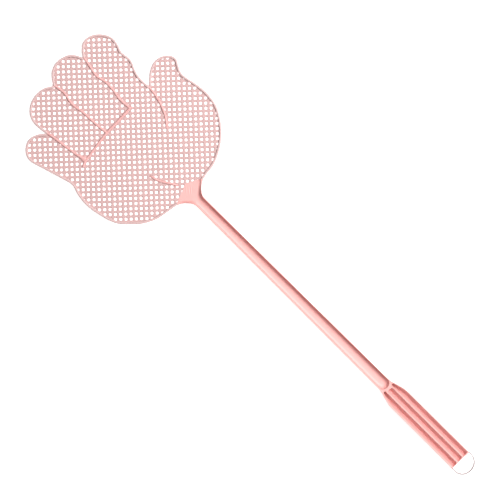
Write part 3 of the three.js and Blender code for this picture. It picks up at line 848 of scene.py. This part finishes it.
def neck_skin(sizes):
    """Closed skin of the neck. Row t runs from the outline's left side to its right side: first a wall of width w
    along the normal of the outline, then the floor, then the other wall. The top row's floor follows the edge of
    the plate, and the rows below it flatten to y = const as a power of 1 - s."""
    line = smooth_line(RUNS[-1][0], 0.22)
    inward = rightwards(line)
    first = np.argmin(np.linalg.norm(line - np.array(HEEL_RIGHT[-1]) * MM, axis=1))
    line, inward = line[first:], inward[first:]
    last = np.argmax(line[:, 1] < STICK_START * MM)
    line, inward = line[:last + 1].copy(), inward[:last + 1].copy()
    line[-1] = half_width(np.array([STICK_START * MM]))[0], STICK_START * MM
    inward[-1] = -1, 0
    y = line[:, 1]
    height = top_height(y, sizes)
    swell = blend(y, WALL_SWELL)
    wall = sizes.wall + (sizes.rim_width - sizes.wall) * swell

    t = sine_steps(CREST_COLUMNS)
    out = line[:, None, :] + inward[:, None, :] * (wall[:, None] * (1 - t) / 2)[..., None]
    wall_z = height[:, None] - CREST_DROP * (1 - np.sqrt(1 - t**2))
    inner = line + inward * wall[:, None]
    q = sine_steps(NECK_FLOOR_COLUMNS)[None, :]
    floor_x = inner[:, :1] * q
    s = (inner[0, 1] - inner[:, 1]) / (inner[0, 1] - inner[-1, 1])
    top = np.array(NECK_TOP) * MM
    lift = (np.interp(inner[0, 0] * q, top[:, 0], top[:, 1]) - inner[0, 1]).clip(0)
    floor_y = inner[:, 1:] + lift * ((1 - s) ** PLATE_FLATTENING)[:, None]
    depth = (height - CREST_DROP - sizes.floor)[:, None]
    channel = (1 - np.abs(q) ** CHANNEL_SQUARENESS) ** (1 / CHANNEL_SQUARENESS)
    slope = np.clip((1 - np.abs(q)) * inner[:, :1] / NECK_SLOPE, 0, 1)
    share = blend(y, FLOOR_SPREAD)[:, None]
    bowl = channel * (1 - share) + (1 - (1 - slope) ** NECK_SLOPE_ROUNDNESS) * share
    floor_z = height[:, None] - CREST_DROP - depth * bowl + relief(floor_x, floor_y, sizes)

    right = np.stack([out[..., 0], out[..., 1], wall_z], -1)
    left = right[:, :0:-1] * (-1, 1, 1)
    floor = np.stack([floor_x, floor_y, floor_z], -1)[:, :-1]
    front = np.concatenate([left, floor, right], axis=1)
    back = front.copy()
    back[..., 2] = underside(back[..., 0], y, line[:, 0], sizes)
    return skin("neck", front, back)


def relief(x, y, sizes):
    """Low strokes on the plate, parallel to the bars of the web: height (cos^2(pi v / pitch) - 0.5), with v across
    the strokes and u along them, inside the window exp(-(u / half length)^4 - (v / half spread)^6)."""
    c, s = np.cos(sizes.web_angle), np.sin(sizes.web_angle)
    u = x * c + (y - STROKE_CENTRE) * s
    v = x * s - (y - STROKE_CENTRE) * c
    window = np.exp(-((u / STROKE_HALF_LENGTH) ** 4) - (v / STROKE_HALF_SPREAD) ** 6)
    return STROKE_HEIGHT * window * (np.cos(np.pi * v / STROKE_PITCH) ** 2 - 0.5)


def neck_cut():
    """Area that the plate takes from the web."""
    low = [(18, 3.4), (18, -5), (-18, -5), (-18, 3.4)]
    return np.array(NECK_TOP + low) * MM


class SWATTER_OT_stick(Operator):
    """Make the stick, a channel open to the front"""

    bl_idname = "swatter.make_stick"
    bl_label = "Stick"

    def execute(self, context):
        sizes = context.scene.swatter_sizes
        material = plastic_material("moulded_stick", context.scene.swatter_colours.plastic)
        y = rows_between((STICK_START, STICK_FINE_END, 0.5), (STICK_FINE_END, STICK_END, 4))
        mesh = shell("stick", y, channel_front(y, sizes), sizes)
        place("stick", mesh, material, ["stick_channel"])
        return {"FINISHED"}


def trough_front(y, sizes):
    """Front of the grip: wall, trough, rib, trough, rib, trough, wall. The outer troughs lie between the flaring
    wall and a straight rib, so they start narrow. All three are rounded towards the end wall."""
    width = half_width(y)
    height = top_height(y, sizes)
    middle, rib = sizes.trough_pitch / 2, sizes.rib_width / 2
    wall_in = width - sizes.wall
    rib_out, rib_in = np.full_like(y, middle + rib), np.full_like(y, middle - rib)
    depth = np.full_like(y, sizes.trough_depth)
    outer_depth = depth * np.sqrt(np.clip((wall_in - rib_out) / TROUGH_FULL_WIDTH, 0, 1))
    past_end = np.clip((GRIP_END * MM + END_WALL + TROUGH_ROUND - y) / TROUGH_ROUND, 0, None)
    past_outer = past_end + np.clip((y - OUTER_TROUGHS_START * MM) / OUTER_TROUGH_RISE, 0, None)
    past_middle = past_end + np.clip((y - MIDDLE_TROUGH_START * MM) / MIDDLE_TROUGH_RISE, 0, None)
    rib_height = height - RIB_DROP
    return [
        crest(-width, -wall_in, height),
        furrow(-wall_in, -rib_out, height, outer_depth, past_outer),
        crest(-rib_out, -rib_in, rib_height),
        furrow(-rib_in, rib_in, height, depth, past_middle),
        crest(rib_in, rib_out, rib_height),
        furrow(rib_out, wall_in, height, outer_depth, past_outer),
        crest(wall_in, width, height),
    ]


class SWATTER_OT_grip(Operator):
    """Make the collar with the channel's round end, and the grip with its three troughs"""

    bl_idname = "swatter.make_grip"
    bl_label = "Grip"

    def execute(self, context):
        sizes = context.scene.swatter_sizes
        material = plastic_material("moulded_stick", context.scene.swatter_colours.plastic)
        y = rows_between((STICK_END, COLLAR_SPLIT, 0.1))
        collar = shell("collar", y, channel_front(y, sizes), sizes)
        place("collar", collar, material, ["grip_collar"])
        trough_end = GRIP_END + END_WALL / MM
        y = rows_between(
            (COLLAR_SPLIT, FLARE_FINE_END, 0.1), (FLARE_FINE_END, FLARE_END, 0.5), (FLARE_END, trough_end + 2, 4),
            (trough_end + 2, trough_end, 0.1), (trough_end, GRIP_END, 0.25),
        )
        troughs = shell("grip", y, trough_front(y, sizes), sizes)
        nodes = [
            "grip_tray", "grip_wall_left", "grip_wall_right", "grip_rib_left", "grip_rib_right", "grip_end_wall",
        ]
        place("grip", troughs, material, nodes)
        return {"FINISHED"}


class SWATTER_OT_loop(Operator):
    """Make the thin band of the hanging loop"""

    bl_idname = "swatter.make_loop"
    bl_label = "Hanging loop"

    def execute(self, context):
        sizes = context.scene.swatter_sizes
        # The loop gets the dark greyish copy of the plastic: painted shade on the thin band.
        material = plastic_material("moulded_loop_painted_shade", context.scene.swatter_colours.loop)
        lowest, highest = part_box("hang_loop")
        half = LOOP_BAND / 2
        radius = highest.x - half
        centre = lowest.y + half + LOOP_REACH
        arm = np.arange(GRIP_END * MM + LOOP_ROOT, centre, -0.5 * MM)
        turn = np.linspace(0, np.pi, 60)
        x = np.concatenate([np.full(len(arm), radius), radius * np.cos(turn), np.full(len(arm), -radius)])
        y = np.concatenate([arm, centre - LOOP_REACH * np.sin(turn), arm[::-1]])
        line = np.stack([x, y], axis=1)
        mesh = bead(
            "loop", line, rightwards(line), 0, half, lowest.z, highest.z, LOOP_SQUARENESS, sizes.around,
            round_start=False, round_end=False,
        )
        place("loop", mesh, material, ["hang_loop"])
        return {"FINISHED"}


# ---------------------------------------------------------------- materials

def moulded_surface():
    """Node group of the moulded skin: slow cloudiness of the colour, streaks of the melt along the stick, and a
    fine matt grain. Puts out a tint, a roughness offset and a height."""
    found = bpy.data.node_groups.get("moulded_surface")
    if found:
        return found
    group = bpy.data.node_groups.new("moulded_surface", "ShaderNodeTree")
    face = group.interface
    for name, default in (("Cloud Scale", 60.0), ("Grain Scale", 2600.0), ("Strength", 1.0)):
        socket = face.new_socket(name=name, in_out="INPUT", socket_type="NodeSocketFloat")
        socket.default_value = default
    for name in ("Tint", "Roughness Shift", "Height"):
        face.new_socket(name=name, in_out="OUTPUT", socket_type="NodeSocketFloat")
    nodes, links = group.nodes, group.links
    start, end = nodes.new("NodeGroupInput"), nodes.new("NodeGroupOutput")
    place_in = nodes.new("ShaderNodeTexCoord")
    cloud, streak, grain = (nodes.new("ShaderNodeTexNoise") for _ in range(3))
    cloud.inputs["Detail"].default_value = 3
    stretch = nodes.new("ShaderNodeMapping")
    stretch.inputs["Scale"].default_value = (420, 14, 420)
    streak.inputs["Scale"].default_value = 1
    streak.inputs["Detail"].default_value = 2
    grain.inputs["Detail"].default_value = 2
    links.new(place_in.outputs["Object"], cloud.inputs["Vector"])
    links.new(start.outputs["Cloud Scale"], cloud.inputs["Scale"])
    links.new(place_in.outputs["Object"], stretch.inputs["Vector"])
    links.new(stretch.outputs["Vector"], streak.inputs["Vector"])
    links.new(place_in.outputs["Object"], grain.inputs["Vector"])
    links.new(start.outputs["Grain Scale"], grain.inputs["Scale"])

    def spread(source, low, high):
        """A value from 0 to 1 spread over low to high."""
        node = nodes.new("ShaderNodeMapRange")
        node.inputs["To Min"].default_value, node.inputs["To Max"].default_value = low, high
        links.new(source, node.inputs["Value"])
        return node.outputs["Result"]

    def combine(operation, a, b):
        """Two values combined by one operation."""
        node = nodes.new("ShaderNodeMath")
        node.operation = operation
        links.new(a, node.inputs[0])
        links.new(b, node.inputs[1])
        return node.outputs[0]

    cloudy, streaky, grainy = (texture.outputs["Fac"] for texture in (cloud, streak, grain))
    tint = combine("MULTIPLY", spread(cloudy, 0.955, 1.045), spread(streaky, 0.97, 1.03))
    links.new(tint, end.inputs["Tint"])
    rough = combine("ADD", spread(cloudy, -0.06, 0.06), spread(grainy, -0.05, 0.05))
    links.new(rough, end.inputs["Roughness Shift"])
    height = combine("MULTIPLY", grainy, start.outputs["Strength"])
    links.new(combine("ADD", height, spread(streaky, 0, 0.6)), end.inputs["Height"])
    return group


def plastic_material(name, colour):
    """Pink polypropylene: satin, with the moulded skin."""
    found = bpy.data.materials.get(name)
    if found:
        return found
    material = bpy.data.materials.new(name)
    material.use_nodes = True
    nodes, links = material.node_tree.nodes, material.node_tree.links
    shader = nodes["Principled BSDF"]
    shader.inputs["IOR"].default_value = 1.49
    shader.inputs["Specular IOR Level"].default_value = 0.4
    surface = nodes.new("ShaderNodeGroup")
    surface.node_tree = moulded_surface()
    mix = nodes.new("ShaderNodeVectorMath")
    mix.operation = "SCALE"
    mix.inputs[0].default_value = tuple(colour)
    links.new(surface.outputs["Tint"], mix.inputs["Scale"])
    links.new(mix.outputs["Vector"], shader.inputs["Base Color"])
    rough = nodes.new("ShaderNodeMath")
    rough.operation = "ADD"
    rough.inputs[1].default_value = ROUGHNESS[name]
    links.new(surface.outputs["Roughness Shift"], rough.inputs[0])
    links.new(rough.outputs[0], shader.inputs["Roughness"])
    bump = nodes.new("ShaderNodeBump")
    bump.inputs["Strength"].default_value = 0.12
    bump.inputs["Distance"].default_value = 0.00012
    links.new(surface.outputs["Height"], bump.inputs["Height"])
    links.new(bump.outputs["Normal"], shader.inputs["Normal"])
    return material


# ---------------------------------------------------------------- stage

def pale_floor_material(glow):
    """White floor that is lit a little from within, as a light table is."""
    material = bpy.data.materials.new("pale_floor")
    material.use_nodes = True
    shader = material.node_tree.nodes["Principled BSDF"]
    shader.inputs["Base Color"].default_value = (0.9, 0.9, 0.9, 1)
    shader.inputs["Roughness"].default_value = 0.9
    shader.inputs["Emission Color"].default_value = (1, 1, 1, 1)
    shader.inputs["Emission Strength"].default_value = glow
    return material


def soft_light(name, place_at, aim_at, size, power):
    """Square area light turned towards a point."""
    data = bpy.data.lights.new(name, "AREA")
    data.shape, data.size, data.energy = "SQUARE", size, power
    light = bpy.data.objects.new(name, data)
    light.location = place_at
    light.rotation_mode = "QUATERNION"
    light.rotation_quaternion = (Vector(aim_at) - Vector(place_at)).to_track_quat("-Z", "Y")
    bpy.context.scene.collection.objects.link(light)


class SWATTER_OT_stage(Operator):
    """Make the pale floor, the soft lights and the camera"""

    bl_idname = "swatter.make_stage"
    bl_label = "Stage"

    def execute(self, context):
        scene, stage = context.scene, context.scene.swatter_stage
        middle = Vector(VIEW_CENTRE)
        bpy.ops.mesh.primitive_plane_add(size=FLOOR_SIZE, location=(0, 0, -FLOOR_DEPTH))
        floor = context.object
        floor.name = "pale_floor"
        floor.data.materials.append(pale_floor_material(stage.floor_glow))
        soft_light("key", middle + Vector(KEY_OFFSET), middle, KEY_SIZE, stage.key_power)
        soft_light("top", middle + Vector(TOP_OFFSET), middle, TOP_SIZE, stage.top_power)
        world = bpy.data.worlds.new("studio") if scene.world is None else scene.world
        scene.world = world
        world.use_nodes = True
        background = world.node_tree.nodes["Background"]
        background.inputs["Color"].default_value = (1, 1, 1, 1)
        background.inputs["Strength"].default_value = WORLD_LIGHT
        scene.view_settings.view_transform = "Standard"
        data = bpy.data.cameras.new("camera")
        data.sensor_width, data.lens = 36, 36 * CAMERA_HEIGHT / VIEW_WIDTH
        data.clip_start, data.clip_end = 0.1, 20
        camera = bpy.data.objects.new("camera", data)
        camera.location = middle + Vector((0, 0, CAMERA_HEIGHT))
        camera.rotation_euler = (0, 0, np.radians(VIEW_TURN))
        scene.collection.objects.link(camera)
        scene.camera = camera
        return {"FINISHED"}


# ---------------------------------------------------------------- panel and registration

PIECE_OPERATORS = (
    SWATTER_OT_web, SWATTER_OT_rim, SWATTER_OT_creases, SWATTER_OT_neck, SWATTER_OT_stick, SWATTER_OT_grip,
    SWATTER_OT_loop, SWATTER_OT_stage,
)


class SWATTER_PT_sidebar(Panel):
    """Sizes, colours and the pieces of the swatter"""

    bl_idname = "SWATTER_PT_sidebar"
    bl_label = "Hand Swatter"
    bl_space_type = "VIEW_3D"
    bl_region_type = "UI"
    bl_category = "Swatter"

    def draw(self, context):
        for group in (context.scene.swatter_sizes, context.scene.swatter_colours, context.scene.swatter_stage):
            box = self.layout.box()
            for name in group.bl_rna.properties.keys():
                if name not in ("rna_type", "name"):
                    box.prop(group, name)
        for operator in PIECE_OPERATORS:
            self.layout.operator(operator.bl_idname)


CLASSES = (SwatterSizes, SwatterColours, SwatterStage, *PIECE_OPERATORS, SWATTER_PT_sidebar)


def register():
    for cls in CLASSES:
        bpy.utils.register_class(cls)
    bpy.types.Scene.swatter_sizes = PointerProperty(type=SwatterSizes)
    bpy.types.Scene.swatter_colours = PointerProperty(type=SwatterColours)
    bpy.types.Scene.swatter_stage = PointerProperty(type=SwatterStage)


def unregister():
    del bpy.types.Scene.swatter_stage
    del bpy.types.Scene.swatter_colours
    del bpy.types.Scene.swatter_sizes
    for cls in reversed(CLASSES):
        bpy.utils.unregister_class(cls)


def main():
    register()
    bpy.ops.swatter.make_web()
    bpy.ops.swatter.make_rim()
    bpy.ops.swatter.make_creases()
    bpy.ops.swatter.make_neck()
    bpy.ops.swatter.make_stick()
    bpy.ops.swatter.make_grip()
    bpy.ops.swatter.make_loop()
    bpy.ops.swatter.make_stage()


if __name__ == "__main__":
    main()
